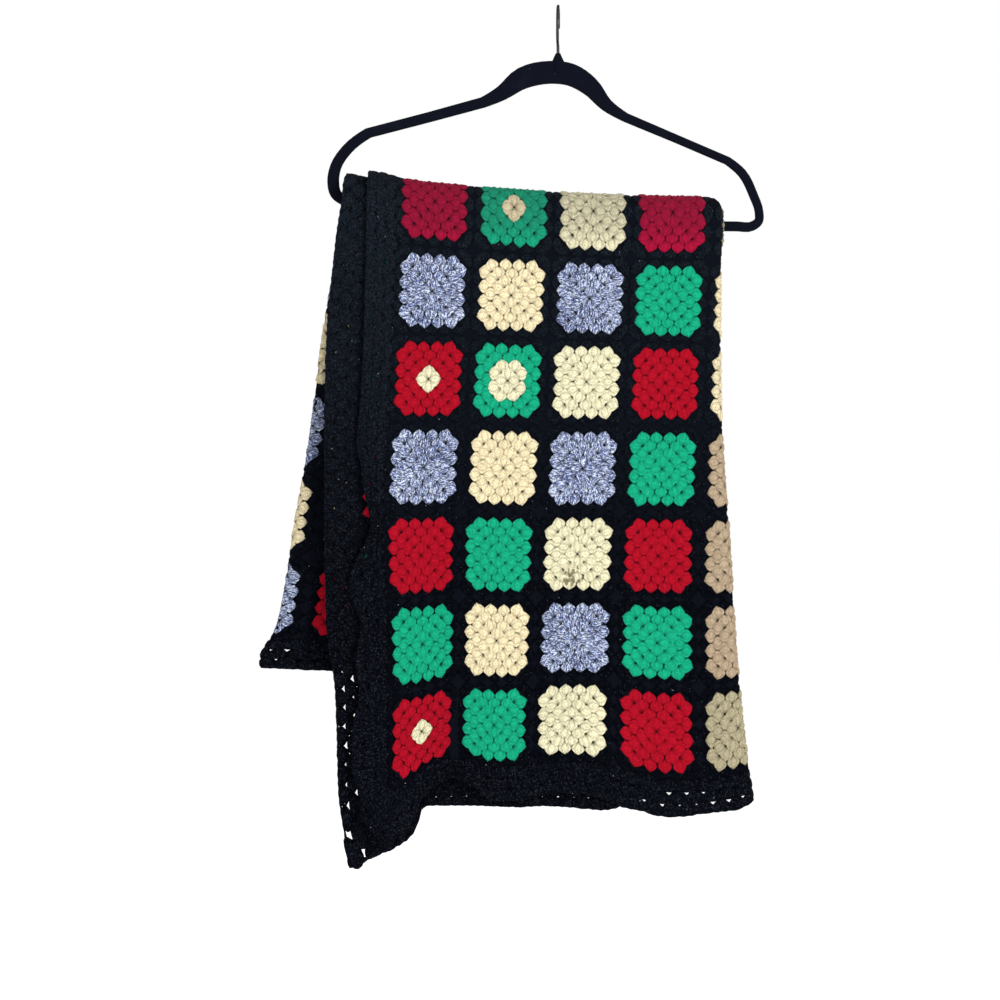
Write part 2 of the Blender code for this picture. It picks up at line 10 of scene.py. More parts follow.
import bpy
import numpy as np
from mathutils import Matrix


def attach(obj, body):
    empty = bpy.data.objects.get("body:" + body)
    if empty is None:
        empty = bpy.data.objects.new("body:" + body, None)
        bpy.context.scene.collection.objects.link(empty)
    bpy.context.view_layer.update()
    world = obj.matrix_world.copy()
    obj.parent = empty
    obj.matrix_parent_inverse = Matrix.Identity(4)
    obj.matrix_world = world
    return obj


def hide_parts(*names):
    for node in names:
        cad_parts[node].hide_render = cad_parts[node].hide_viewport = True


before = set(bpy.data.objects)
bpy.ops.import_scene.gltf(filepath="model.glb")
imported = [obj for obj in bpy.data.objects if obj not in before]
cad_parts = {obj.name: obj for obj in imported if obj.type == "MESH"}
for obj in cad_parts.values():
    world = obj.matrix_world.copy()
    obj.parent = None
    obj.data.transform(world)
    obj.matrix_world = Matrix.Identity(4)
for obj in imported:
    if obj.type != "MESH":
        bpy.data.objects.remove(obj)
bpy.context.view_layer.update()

MM = 0.001
SEED = 20260

# ---------------------------------------------------------------- the blanket's sizes (mm)
HANGER_DEPTH = 6.0
BAR_HEIGHT = 10.0
BAR_LEFT_X, BAR_LEFT_Z = -208.0, -197.4
BAR_RIGHT_X = 190.0
BAR_SLOPE = -0.0582
BAR_SAG = 6.5

COLUMNS, ROWS = 17, 12
COLUMN_PITCH, ROW_PITCH = 80.0, 88.0
BORDER = 30.0
BLANKET_WIDTH = COLUMNS * COLUMN_PITCH + 2 * BORDER
BLANKET_LENGTH = ROWS * ROW_PITCH + 2 * BORDER
CLOTH = 4.0
LAYER_PITCH = 7.0
BAR_GAP = 0.5
SIDE_GAP = 2.2
CROWN_HALF_DEPTH = HANGER_DEPTH / 2 + SIDE_GAP + CLOTH / 2
CROWN_HEIGHT = BAR_HEIGHT / 2 + BAR_GAP + CLOTH / 2
TOP_LAYER = 3.0
CROWN_DROP = 12.0            # where a drop of the cloth leaves the bar, in the tables' drop

# The tables of the fold, as in the CAD model.
LINES = [
    # drop, first_column, outer_fold, left_fold, inner_fold, under_edge
    (-480, -182, 99, -301, 88, -241),
    (-445, -181, 103, -285, 92, -240),
    (-420, -180, 106, -279, 95, -240),
    (-350, -177, 115, -268.5, 104, -236),
    (-250, -173, 129, -251.5, 118, -231),
    (-130, -168, 146, -236, 135, -225),
    (-50, -164, 157, -219, 146, -219),
    (-12, -163, 160, -207, 150, -214),
    (0, -163, 162, -204, 151, -213),
    (12, -163, 164, -202, 153, -216),
    (60, -164, 161.5, -196, 151.5, -224),
    (140, -167, 161, -184, 151, -232),
    (230, -172, 163, -170, 153, -234),
    (330, -176, 170, -150, 159, -234),
    (430, -172, 176, -132, 165, -232),
    (500, -171, 182, -119, 171, -223),
    (560, -171, 189.5, -108, 177.5, -221),
    (600, -170, 196, -102, 183, -220),
    (645, -166, 198, -98, 185, -214),
    (670, -164, 199, -96, 186, -210),
]
FOLD_LINES = [
    # v, outer, left, inner
    (0, 313, 693, 1091),
    (200, 335, 689, 1084),
    (480, 366, 712, 1074),
    (640, 370, 711, 1068),
    (760, 377, 711, 1058),
    (860, 388, 710, 1040),
    (960, 394, 710, 1018),
    (1116, 406, 710, 996),
]
FREE_EDGE = [
    # drop, x
    (-480, -212), (-130, -198), (-20, -192), (0, -191), (50, -192), (130, -194), (199, -197),
    (252, -201), (268, -197), (288, -195), (311, -190), (328, -187), (343, -191), (360, -200),
    (379, -207), (392, -208), (429, -197), (465, -202),
    (496, -198), (536, -205), (568, -205), (608, -196), (622, -193), (640, -185), (655, -176),
]
CROWN_LINE = [(0, 476), (1, 492.5), (2, 508), (3, 500), (4, 452)]
CROWN_REACH = [(0, 44.5), (1, 28), (2, 17), (3, 28), (4, 33.5)]
BACK_LOWER_EDGE = [(0, 431), (350, 464), (700, 475), (1060, 472), (1420, 419)]
FRONT_FALL = [
    # u, drop
    (0, 594), (60, 592), (106, 586), (150, 588), (200, 588), (406, 578), (710, 592),
    (1000, 588), (1300, 600), (1420, 612),
]
DROOP = [
    # u, drop
    (0, 620), (30, 611), (70, 599), (106, 584), (130, 580), (150, 582), (190, 576), (230, 567),
    (265, 571), (290, 581), (315, 590), (350, 590), (380, 582), (406, 575), (560, 578),
    (710, 590), (1000, 578), (1100, 578), (1200, 594), (1300, 600), (1340, 606), (1420, 640),
]
LOWER_EDGE = [
    # u, drop
    (0, 627), (8, 634), (16, 637), (24, 637), (31, 634), (41, 626), (53, 619), (59, 610),
    (68, 593), (80, 581), (91, 575), (106, 570), (114, 573), (128, 577), (136, 583),
    (144, 589.5), (178, 588), (189, 584.5), (200, 581), (219, 577.5), (236, 577.5), (251, 580.5),
    (264, 585), (275, 589.5), (292, 592.5), (305, 596.5), (314, 597), (332, 595.5), (345, 592),
    (369, 588), (380, 586), (395, 580), (425, 568), (560, 572), (710, 588), (850, 580),
    (1000, 570), (1085, 574), (1108, 584), (1124, 589), (1133, 592), (1146, 594), (1168, 593.5),
    (1200, 594), (1235, 597), (1269, 597.5), (1311, 600), (1325, 601), (1331, 602), (1334, 605),
    (1340, 619), (1349, 632), (1362, 641), (1392, 654), (1420, 666),
]
ROW_EASE = [
    # drop, left, right
    (0, 2, 2), (90, 5, 2), (180, 6.5, -2), (360, 7, -2), (560, 6, -5), (670, 6, -5),
]
EASE_SPAN = 150.0
EASE_GROWS = (0, 60)         # distance below the bar over which the rows begin to ease
EASE_ENDS = (0.8, 1.0)       # share of the way to the lower edge over which they stop
DRAWN_LEFT, DRAWN_COLUMNS = 12.0, 4
DRAWN_START, DRAWN_END = 230.0, 560.0
DROOP_POWER, RIPPLE_POWER = 4.0, 18.0
BOW_FADE = 130.0
TOP_ROLL, TOP_ROLL_WIDTH = 5.0, 60.0
UNDER_ROLL, UNDER_ROLL_WIDTH = 7.0, 60.0
ROLL_FADE = 80.0
CURL_SHARE, CURL_SPARE = 0.25, 4.0
CURL_GROWS = (10, 60)
PLEAT_U, PLEAT_WIDTH, PLEAT_DEPTH = 106.0, 13.0, 11.0
PLEAT_START, PLEAT_END = 430.0, 620.0
PLEAT_ENDS = (120, 260)      # u over which the bulge beside the crease ends
SWAY, SWAY_GROWS = 6.0, (20, 560)
# Waves across a drop, as share, mm for each radian and phase, and what is added to them.
FRONT_WAVES, FRONT_STEADY = ((0.55, 41.0, 0.6), (0.45, 19.0, -0.8)), 0.3
BACK_WAVES, BACK_STEADY = ((0.7, 47.0, -1.0), (0.3, 23.0, 0.0)), 0.2
FOLDS = [
    # layer_before, layer_after, side
    (3, 0, 1),
    (0, 1, -1),
    (1, 2, 1),
]

# Two slides within a layer that the CAD model doesn't have, beside the left fold behind and
# beside the outer fold on the bar: how far, where, and where they set in and end.
JOINT_PULL, JOINT_U, JOINT_HALF_WIDTH = 6.0, 670.0, 7.0
JOINT_GROWS, JOINT_DROPS = (480, 640), (40, 160)
CROWN_PULL, CROWN_PULL_V = 8.5, 510.0
CROWN_PULL_GROWS, CROWN_PULL_ENDS, CROWN_PULL_FADES = (345, 362), (400, 470), (40, 75)


# ---------------------------------------------------------------- folding the flat blanket
def smoothstep(low, high, value):
    t = np.clip((value - low) / (high - low), 0.0, 1.0)
    return t * t * (3 - 2 * t)


def curve_through(table, key, column=1):
    """Smooth values read from a table: cubic between its rows, with limited slopes."""
    rows = np.array(table, float)
    keys, values = rows[:, 0], rows[:, column]
    rise = np.diff(values) / np.diff(keys)
    before, after = rise[:-1], rise[1:]
    slopes = np.zeros(len(keys))
    same = before * after > 0
    slopes[1:-1][same] = 2 * before[same] * after[same] / (before[same] + after[same])
    key = np.clip(key, keys[0], keys[-1])
    i = np.clip(np.searchsorted(keys, key) - 1, 0, len(keys) - 2)
    span = keys[i + 1] - keys[i]
    t = (key - keys[i]) / span
    return (
        (2 * t**3 - 3 * t**2 + 1) * values[i] + (t**3 - 2 * t**2 + t) * slopes[i] * span
        + (3 * t**2 - 2 * t**3) * values[i + 1] + (t**3 - t**2) * slopes[i + 1] * span
    )


def straight_through(table, key):
    """Values read from a table by straight lines between its rows."""
    return np.interp(key, [row[0] for row in table], [row[1] for row in table])


def level_z(x):
    """The height of the bar's line before the cloth's weight bows it."""
    return BAR_LEFT_Z + (x - BAR_LEFT_X) * BAR_SLOPE


def bar_z(x):
    middle, half = (BAR_LEFT_X + BAR_RIGHT_X) / 2, (BAR_RIGHT_X - BAR_LEFT_X) / 2
    return level_z(x) - BAR_SAG * np.maximum(0.0, 1 - ((x - middle) / half) ** 2)


def hung_z(x, hang):
    """The height of a point this far down a drop, which loses the bar's bow on its way."""
    bow = level_z(x) - bar_z(x)
    return bar_z(x) - hang + bow * smoothstep(0, BOW_FADE, hang)


def fold_radius(fold):
    return abs(fold[0] - fold[1]) * LAYER_PITCH / 2


def fold_lines(v):
    return [curve_through(FOLD_LINES, v, column) for column in (1, 2, 3)]


def fold_number(u, lines):
    """0 at the free edge, 1 to 3 at the folds and 4 at the under edge, with shares between."""
    outer, left, inner = lines
    number = 3 + (u - inner) / (BLANKET_WIDTH - inner)
    number = np.where(u < inner, 2 + (u - left) / (inner - left), number)
    number = np.where(u < left, 1 + (u - outer) / (left - outer), number)
    number = np.where(u < outer, u / outer, number)
    return np.clip(number, 0.0, 4.0)


def joint_pull(u, drop):
    """Behind, the black joint beside the left fold is pulled open a little, along the layer."""
    ended = smoothstep(JOINT_U - JOINT_HALF_WIDTH, JOINT_U + JOINT_HALF_WIDTH, u)
    near = smoothstep(*JOINT_GROWS, u) * (1 - ended)
    return JOINT_PULL * near * smoothstep(*JOINT_DROPS, -drop)


def crown_pull(u, v):
    """On the bar, the stitches beside the outer fold are drawn a little further round it."""
    near = smoothstep(*CROWN_PULL_GROWS, u) * (1 - smoothstep(*CROWN_PULL_ENDS, u))
    return CROWN_PULL * near * (1 - smoothstep(*CROWN_PULL_FADES, np.abs(v - CROWN_PULL_V)))


def across(u, lines, drop):
    """Where the folded section puts points: their x, and their layer."""
    first_column = curve_through(LINES, drop, 1)
    edge = curve_through(FREE_EDGE, drop)
    x = edge + (first_column - edge) * u / BORDER
    layer = np.full_like(x, TOP_LAYER)
    start_u, start_x, start_layer = BORDER, first_column, TOP_LAYER
    for column, line, fold in zip((2, 3, 4), lines, FOLDS):
        radius = fold_radius(fold)
        half = math.pi * radius / 2
        centre = curve_through(LINES, drop, column) - fold[2] * radius
        on_flat = (u >= start_u) & (u < line - half)
        t = (u - start_u) / (line - half - start_u)
        x = np.where(on_flat, start_x + (centre - start_x) * t, x)
        if column == 3:
            x = np.where(on_flat, x + joint_pull(u, drop), x)
        layer = np.where(on_flat, start_layer, layer)
        on_fold = (u >= line - half) & (u < line + half)
        turn = (u - line + half) / (2 * half) * math.pi
        x = np.where(on_fold, centre + fold[2] * radius * np.sin(turn), x)
        middle, reach = (fold[0] + fold[1]) / 2, (fold[0] - fold[1]) / 2
        layer = np.where(on_fold, middle + reach * np.cos(turn), layer)
        start_u, start_x, start_layer = line + half, centre, float(fold[1])
    t = (u - start_u) / (BLANKET_WIDTH - start_u)
    under_edge = curve_through(LINES, drop, 5)
    on_last = u >= start_u
    x = np.where(on_last, start_x + (under_edge - start_x) * t, x)
    return x, np.where(on_last, start_layer, layer)


def waves(x, table):
    return sum(share * np.sin(x / length + phase) for share, length, phase in table)


def sway(x, drop):
    """Outward waves of a whole drop: none at the bar, soft folds towards the lower edge."""
    grown = smoothstep(*SWAY_GROWS, np.abs(drop)) * SWAY
    front, back = waves(x, FRONT_WAVES) + FRONT_STEADY, waves(x, BACK_WAVES) + BACK_STEADY
    return grown * np.where(drop > 0, front, back)


def pleat(u, drop):
    """The top layer bulges forward on both sides of a crease near its lower left corner."""
    grown = smoothstep(PLEAT_START, PLEAT_END, drop) * PLEAT_DEPTH
    bulge = 1 - np.exp(-(((u - PLEAT_U) / PLEAT_WIDTH) ** 2))
    return grown * bulge * (1 - smoothstep(*PLEAT_ENDS, u))


def edge_curl(u, drop):
    """Where the free edge is drawn in, it also curls forward."""
    drawn = curve_through(FREE_EDGE, drop) - curve_through(LINES, drop, 1) + BORDER + CURL_SPARE
    curl = np.maximum(0.0, CURL_SHARE * drawn) * (1 - smoothstep(0, 2 * BORDER, u))
    return np.where(u < 2 * BORDER, curl * smoothstep(*CURL_GROWS, drop), 0.0)


def edge_roll(u, hang):
    """In layers: how far a free edge stands off near the bar."""
    top = TOP_ROLL * (1 - smoothstep(0, TOP_ROLL_WIDTH, u))
    under = UNDER_ROLL * smoothstep(BLANKET_WIDTH - UNDER_ROLL_WIDTH, BLANKET_WIDTH, u)
    return (top + under) / LAYER_PITCH * (1 - smoothstep(0, ROLL_FADE, hang))


def drawn_left(u, drop):
    """Low down, the crease draws the columns of the top layer to the left."""
    last = BORDER + DRAWN_COLUMNS * COLUMN_PITCH
    pull = np.sin(np.clip((u - BORDER) / (last - BORDER), 0.0, 1.0) * math.pi)
    return DRAWN_LEFT * pull * smoothstep(DRAWN_START, DRAWN_END, drop)


def drape(u, v):
    """Points of the flat blanket, in mm, taken to their place on the hanger, in mm."""
    u, v = np.broadcast_arrays(np.asarray(u, float), np.asarray(v, float))
    lines = fold_lines(v)
    number = fold_number(u, lines)
    crown = straight_through(CROWN_LINE, number)
    reach = straight_through(CROWN_REACH, number)
    along = v - crown
    on_crown = np.abs(along) <= reach
    behind = along < 0
    turn = np.clip(along / reach, -1, 1) * math.pi / 2
    hang = np.maximum(np.abs(along) - reach, 0.0)

    share = hang / (BLANKET_LENGTH - crown - reach)
    gentle, droop = curve_through(FRONT_FALL, u), curve_through(DROOP, u)
    front_hang = gentle * share + (droop - gentle) * share**DROOP_POWER
    front_hang += (curve_through(LOWER_EDGE, u) - droop) * share**RIPPLE_POWER
    back_hang = hang * curve_through(BACK_LOWER_EDGE, u) / (crown - reach)
    hang = np.where(behind, back_hang, front_hang)
    drop = np.where(behind, -hang - CROWN_DROP, hang + CROWN_DROP)
    drop = np.where(on_crown, CROWN_DROP * np.sin(turn), drop)
    x, layer = across(u, lines, drop)
    layer_out = layer + edge_roll(u, np.where(on_crown, 0.0, hang))

    out = CROWN_HALF_DEPTH + layer_out * LAYER_PITCH
    crown_y = -out * np.sin(turn)
    crown_z = bar_z(x) + (CROWN_HEIGHT + layer_out * LAYER_PITCH) * np.cos(turn)
    back_y = out + sway(x, -hang)
    back_z = hung_z(x, hang)
    top_layer = layer == TOP_LAYER
    front_out = out + sway(x, hang) + np.where(top_layer, pleat(u, hang) + edge_curl(u, hang), 0.0)
    front_x = x - np.where(top_layer, drawn_left(u, hang), 0.0)
    left, right = (curve_through(ROW_EASE, hang, column) for column in (1, 2))
    ease = left + (right - left) * smoothstep(-EASE_SPAN, EASE_SPAN, front_x)
    ease = ease * (1 - smoothstep(*EASE_ENDS, share))
    front_z = hung_z(front_x, hang) - ease * smoothstep(*EASE_GROWS, hang)

    x = np.where(on_crown | behind, x, front_x)
    y = np.where(on_crown, crown_y, np.where(behind, back_y, -front_out))
    z = np.where(on_crown, crown_z, np.where(behind, back_z, front_z))
    return np.stack([x, y, z], axis=-1)


def drape_with_height(u, v, w):
    """The same, for points w mm out from the middle of the cloth, towards its face."""
    step = 0.8
    place = drape(u, v)
    along_u = drape(u + step, v) - drape(u - step, v)
    along_v = drape(u, v + step) - drape(u, v - step)
    normal = np.cross(along_v, along_u)
    normal /= np.maximum(np.linalg.norm(normal, axis=-1, keepdims=True), 1e-9)
    return place + normal * w[..., None]


# ---------------------------------------------------------------- mesh helpers
def add_mesh(name, points, quads, triangles=(), attributes=None):
    """An object from arrays: points in metres, faces by index, and named point attributes."""
    quads = np.asarray(quads, np.int32).reshape(-1, 4)
    triangles = np.asarray(triangles, np.int32).reshape(-1, 3)
    mesh = bpy.data.meshes.new(name)
    mesh.vertices.add(len(points))
    mesh.vertices.foreach_set("co", np.ascontiguousarray(points, np.float32).ravel())
    mesh.loops.add(quads.size + triangles.size)
    mesh.loops.foreach_set("vertex_index", np.concatenate([quads.ravel(), triangles.ravel()]))
    mesh.polygons.add(len(quads) + len(triangles))
    starts = np.concatenate([
        np.arange(len(quads)) * 4, quads.size + np.arange(len(triangles)) * 3])
    mesh.polygons.foreach_set("loop_start", starts.astype(np.int32))
    for key, values in (attributes or {}).items():
        kind = "FLOAT_VECTOR" if values.ndim == 2 else "FLOAT"
        data = mesh.attributes.new(key, kind, "POINT").data
        data.foreach_set("vector" if values.ndim == 2 else "value",
                         np.ascontiguousarray(values, np.float32).ravel())
    mesh.update(calc_edges=True)
    mesh.validate()
    mesh.shade_smooth()
    made = bpy.data.objects.new(name, mesh)
    bpy.context.scene.collection.objects.link(made)
    return made


class Shape:
    """One stitch cluster in its own terms: rows of points from base to tip, closed underneath."""

    def __init__(self, across_steps, along_steps):
        s, t = np.meshgrid(across_steps, along_steps)
        self.rows, self.wide = s.shape
        # The underside has the same rim and one line of its own down the middle.
        self.s = np.concatenate([s.ravel(), np.zeros(self.rows)])
        self.t = np.concatenate([t.ravel(), t[:, 0]])
        self.under = np.concatenate([np.zeros(s.size, bool), np.ones(self.rows, bool)])
        quads, triangles = [], []
        n, spine = self.wide, s.size

        def top(i, j):
            return i * n + j

        for i in range(self.rows - 1):
            for j in range(n - 1):
                quads.append((top(i, j), top(i, j + 1), top(i + 1, j + 1), top(i + 1, j)))
            quads.append((top(i, 0), top(i + 1, 0), spine + i + 1, spine + i))
            quads.append((spine + i, spine + i + 1, top(i + 1, n - 1), top(i, n - 1)))
        last = self.rows - 1
        for j in range(n - 1):
            triangles.append((top(0, j + 1), top(0, j), spine))
            triangles.append((top(last, j), top(last, j + 1), spine + last))
        self.quads, self.triangles = np.array(quads), np.array(triangles)


FINE = Shape(
    (-1, -0.84, -0.62, -0.31, 0, 0.31, 0.62, 0.84, 1), (0, 0.2, 0.38, 0.54, 0.72, 0.88, 1))
MEDIUM = Shape((-1, -0.72, -0.3, 0.3, 0.72, 1), (0, 0.25, 0.55, 0.82, 1))
PLAIN = Shape((-1, 0, 1), (0, 0.6, 1))
# A piece's name and shape by how much of its clusters can be seen.
OUTER, SIDE, INNER = 0, 1, 2
DETAILS = (("outer", FINE), ("side", MEDIUM), ("inner", PLAIN))

# A cluster of three stitches from its base to its tip.
OUTLINE = [
    # along, half_width, height
    (0.0, 0.34, 0.40), (0.2, 0.68, 0.78), (0.4, 0.97, 1.0), (0.5, 1.0, 1.0),
    (0.70, 0.81, 0.98), (0.87, 0.48, 0.80), (1.0, 0.14, 0.38),
]
# In the border they fan out until neighbours meet, which leaves small three-sided gaps.
FAN = [
    # along, half_width, height
    (0.0, 0.50, 0.50), (0.2, 0.66, 0.80), (0.4, 0.97, 1.0), (0.56, 1.06, 1.0),
    (0.74, 1.05, 1.0), (0.9, 0.90, 0.85), (1.0, 0.60, 0.40),
]
POSTS = 3
RIM_TURN = 0.98              # of a quarter turn, how far round a cluster's section its rim lies
RIM_DRAWN_BACK = 0.07        # how far the rim's tip stays behind the middle, of the length
DOME, RIDGE = 0.66, 0.40     # height between the posts, and what a post adds to it
RIDGE_GROWS, RIDGE_ENDS = (0.05, 0.3), (0.75, 0.98)
UNDERSIDE = 0.85             # depth of the underside, of the height
HEADING_SCATTER, SIZE_SCATTER = 0.035, 0.025
YARN_APART = 997.0           # sets the plies of one cluster off from those of the next


def cluster_points(shape, outline, half_width, length, height):
    """Across, along and height of every point of clusters with these sizes (arrays), in mm."""
    s, t = shape.s[None, :], shape.t[None, :]
    half_width, length = half_width[:, None], length[:, None]
    across_mm = half_width * curve_through(outline, t) * np.sin(s * math.pi / 2 * RIM_TURN)
    along_mm = length * t * (1 - RIM_DRAWN_BACK * s**2 * t)
    dome = np.sqrt(np.maximum(0.0, 1 - s**2)) * curve_through(outline, t, 2)
    ridge = 0.5 + 0.5 * np.cos(s * POSTS * math.pi)
    ridge = ridge * smoothstep(*RIDGE_GROWS, t) * (1 - smoothstep(*RIDGE_ENDS, t))
    rise = dome * (DOME + RIDGE * ridge)
    under = shape.under[None, :]
    up = np.where(under, -UNDERSIDE * dome, rise)
    risen = np.broadcast_to(np.where(under, 1.0, rise), across_mm.shape)
    return across_mm, along_mm, up * height[:, None], risen


def make_clusters(name, shape, place, rng, outline=OUTLINE):
    """Every cluster in place: a table with base u, base v, heading, half width, length, height."""
    base_u, base_v, heading, half_width, length, height = np.asarray(place, float).T
    count = len(base_u)
    heading = heading + rng.normal(0, HEADING_SCATTER, count)
    length = length * (1 + rng.normal(0, SIZE_SCATTER, count))
    half_width = half_width * (1 + rng.normal(0, SIZE_SCATTER, count))
    across_mm, along_mm, up, rise = cluster_points(shape, outline, half_width, length, height)
    cos, sin = np.cos(heading)[:, None], np.sin(heading)[:, None]
    u = base_u[:, None] + along_mm * cos - across_mm * sin
    v = base_v[:, None] + along_mm * sin + across_mm * cos
    points = drape_with_height(u + crown_pull(u, v), v, up) * MM
    tone = rng.random(count)
    size = points.shape[1]
    shift = (np.arange(count) * size)[:, None, None]
    quads = shape.quads[None] + shift
    triangles = shape.triangles[None] + shift
    yarn = np.stack([
        np.broadcast_to(along_mm, across_mm.shape), across_mm,
        np.broadcast_to((tone * YARN_APART)[:, None], across_mm.shape)], axis=-1)
    attributes = {
        "yarn": yarn.reshape(-1, 3),
        "tone": np.repeat(tone, size),
        "post": np.tile(shape.s, count),
        "rise": rise.reshape(-1),
    }
    return add_mesh(name, points.reshape(-1, 3), quads, triangles, attributes)


# ---------------------------------------------------------------- squares
# Each square's yarn by column and row; a second letter and a number give the yarn of its
# first rounds and how many they are.
COLOURS_EVEN = ["R", "G", "I", "R", "P", "B", "G", "I", "C", "R", "B", "P", "R", "G", "I", "R", "G"]
COLOURS_ODD = ["B", "P", "B", "G", "C", "R", "I", "R", "B", "I", "G", "B", "P", "B", "P", "G", "R"]
# D, T and U are shaded copies of the red, the cream and the ivory, for the top row on the bar and for
# column 5 where it turns round the fold: painted shade.
COLOURS = {
    (1, 12): "RI1", (5, 12): "U", (1, 11): "G", (5, 11): "T", (3, 10): "W", (5, 10): "T",
    (5, 9): "T", (1, 8): "RI1", (2, 8): "GI2", (5, 8): "C", (5, 7): "C",
    (1, 6): "D", (2, 6): "GP1", (4, 6): "D", (5, 6): "U",
    (2, 4): "GP1", (1, 2): "RI1", (4, 2): "GI2",
}
OUTER_COLUMNS = 5            # the columns of the top layer, with the one round its fold
ROUNDS = 5                   # the last one is black
# For the sides of a square that face along u, then along v: how far from its middle each round
# ends, and the pitch of the clusters in the coloured rounds and in the black one.
SQUARE_SIDES = (
    ((12.6, 19.6, 26.6, 33.8, 39.8), 15.2, 16.6),
    ((13.8, 21.6, 29.4, 37.6, 43.8), 13.4, 15.0),
)
MIDDLE_HOLE = 0.9            # how far from the middle the first clusters start
OVERLAP = 4.1                # how far a cluster starts inside the round before it
BLACK_OVERLAP = OVERLAP - 0.8
HALF_PITCH = 0.51            # a cluster's half width, of the pitch: neighbours just meet
TIP_REACH = 0.97             # share of a cluster's length that lies inside its round
CORNER_DEEPER, CORNER_WIDER, CORNER_LEAN = 0.7, 1.04, 0.22
STITCH_HEIGHT, BLACK_HEIGHT = 2.6, 2.0


def detail_of(column, row):
    """How fine a square's clusters are. The inner squares lie between other layers."""
    if column <= OUTER_COLUMNS:
        return OUTER
    hidden = (column in (6, 7) and 1 < row < 8) or (10 <= column <= 15 and row < 10)
    return INNER if hidden else SIDE


def square_clusters():
    """Rows of (yarn, detail, u, v, heading, half width, length, height)."""
    found = []
    for column in range(1, COLUMNS + 1):
        for row in range(1, ROWS + 1):
            table = COLOURS_ODD if row % 2 else COLOURS_EVEN
            code = COLOURS.get((column, row), table[column - 1])
            centre = (BORDER + COLUMN_PITCH * (column - 0.5), BORDER + ROW_PITCH * (row - 0.5))
            detail = detail_of(column, row)
            for number in range(1, ROUNDS + 1):
                yarn = code[0]
                if len(code) > 2 and number <= int(code[2]):
                    yarn = code[1]
                if number == ROUNDS:
                    yarn = "K"
                plainer = SIDE if yarn == "K" and detail == OUTER else detail
                for side in range(4):
                    found += side_clusters(yarn, plainer, centre, number, side)
    return found


def side_clusters(yarn, detail, centre, number, side):
    """The clusters of one round along one side of a square."""
    black = number == ROUNDS
    tips, pitch, black_pitch = SQUARE_SIDES[side % 2]
    overlap = OVERLAP
    if black:
        pitch, overlap = black_pitch, BLACK_OVERLAP
    tip = tips[number - 1]
    base = tips[number - 2] - overlap if number > 1 else MIDDLE_HOLE
    heading = side * math.pi / 2
    out = np.array([math.cos(heading), math.sin(heading)])
    along = np.array([-out[1], out[0]])
    half = pitch * HALF_PITCH
    rows = []
    for i in range(number):
        offset = (i - (number - 1) / 2) * pitch
        lean, foot, wide_by = 0.0, base, 1.0
        if number > 1 and i in (0, number - 1):
            # A corner cluster leans, and a coloured one starts deeper in the round before.
            lean, wide_by = math.copysign(CORNER_LEAN, offset), CORNER_WIDER
            if not black:
                foot = base - CORNER_DEEPER
        length = (tip - foot) / (math.cos(lean) * TIP_REACH)
        start = out * foot + along * (offset - math.sin(lean) * length * 0.5)
        rows.append((
            yarn, detail, centre[0] + start[0], centre[1] + start[1],
            heading + lean, half * wide_by, length, BLACK_HEIGHT if black else STITCH_HEIGHT))
    return rows


# ---------------------------------------------------------------- border
BORDER_ROUNDS = 3
BORDER_ROUND = BORDER / BORDER_ROUNDS
BORDER_OVERLAP, BORDER_HEIGHT = 2.8, 2.3
CLUSTERS_A_SQUARE = 5
# Half width of a cluster, of the pitch, along the under edge, the front's lower edge, the
# front's free edge and the back's lower edge: the smaller the share, the wider the gaps.
BORDER_FULL = (
    # distance along the edge, share
    [(0, 0.64), (940, 0.64), (957, 0.50), (1116, 0.50)],
    [(0, 0.61), (290, 0.61), (310, 0.545), (385, 0.545), (410, 0.67), (1420, 0.67)],
    [(0, 0.60), (1116, 0.60)],
    [(0, 0.48), (1420, 0.48)],
)
# Clusters in each corner of a round: degrees from the diagonal, half width in mm, and length in
# rounds. The first is in the last round alone.
CORNER_TURNS = ((0, 4.6, 1.55), (-27, 8.5, 1.36), (27, 8.5, 1.36))
CORNER_SPREAD = 1.3          # a round's depth along the diagonal, in rounds


def border_clusters():
    """Black clusters of the border's rounds, staggered from one round to the next."""
    found = []
    for side in range(4):
        along_u = side % 2 == 1
        run = (BLANKET_WIDTH if along_u else BLANKET_LENGTH) - 2 * BORDER
        pitch = (COLUMN_PITCH if along_u else ROW_PITCH) / CLUSTERS_A_SQUARE
        for number in range(BORDER_ROUNDS):
            count = round(run / pitch) + (1 if number % 2 == 0 else 2)
            first = BORDER + (run - (count - 1) * pitch) / 2
            for i in range(count):
                along = first + i * pitch
                reach = BORDER_ROUND * number - BORDER_OVERLAP
                if side == 0:
                    u, v, heading = BLANKET_WIDTH - BORDER + reach, along, 0.0
                elif side == 1:
                    u, v, heading = along, BLANKET_LENGTH - BORDER + reach, math.pi / 2
                elif side == 2:
                    u, v, heading = BORDER - reach, along, math.pi
                else:
                    u, v, heading = along, BORDER - reach, -math.pi / 2
                full = float(straight_through(BORDER_FULL[side], along))
                found.append((
                    u, v, heading, pitch * full, BORDER_ROUND + BORDER_OVERLAP, BORDER_HEIGHT))
    # Two clusters in each corner of each round, and a third that fills the last one.
    for corner_u, corner_v, diagonal in (
        (BORDER, BORDER, -135), (BLANKET_WIDTH - BORDER, BORDER, -45),
        (BLANKET_WIDTH - BORDER, BLANKET_LENGTH - BORDER, 45),
        (BORDER, BLANKET_LENGTH - BORDER, 135),
    ):
        for number in range(BORDER_ROUNDS):
            reach = BORDER_ROUND * number * CORNER_SPREAD
            out = math.radians(diagonal)
            turns = CORNER_TURNS[1:] if number < BORDER_ROUNDS - 1 else CORNER_TURNS
            for turn, half, length in turns:
                found.append((
                    corner_u + reach * math.cos(out), corner_v + reach * math.sin(out),
                    out + math.radians(turn), half, BORDER_ROUND * length, BORDER_HEIGHT))
    return found


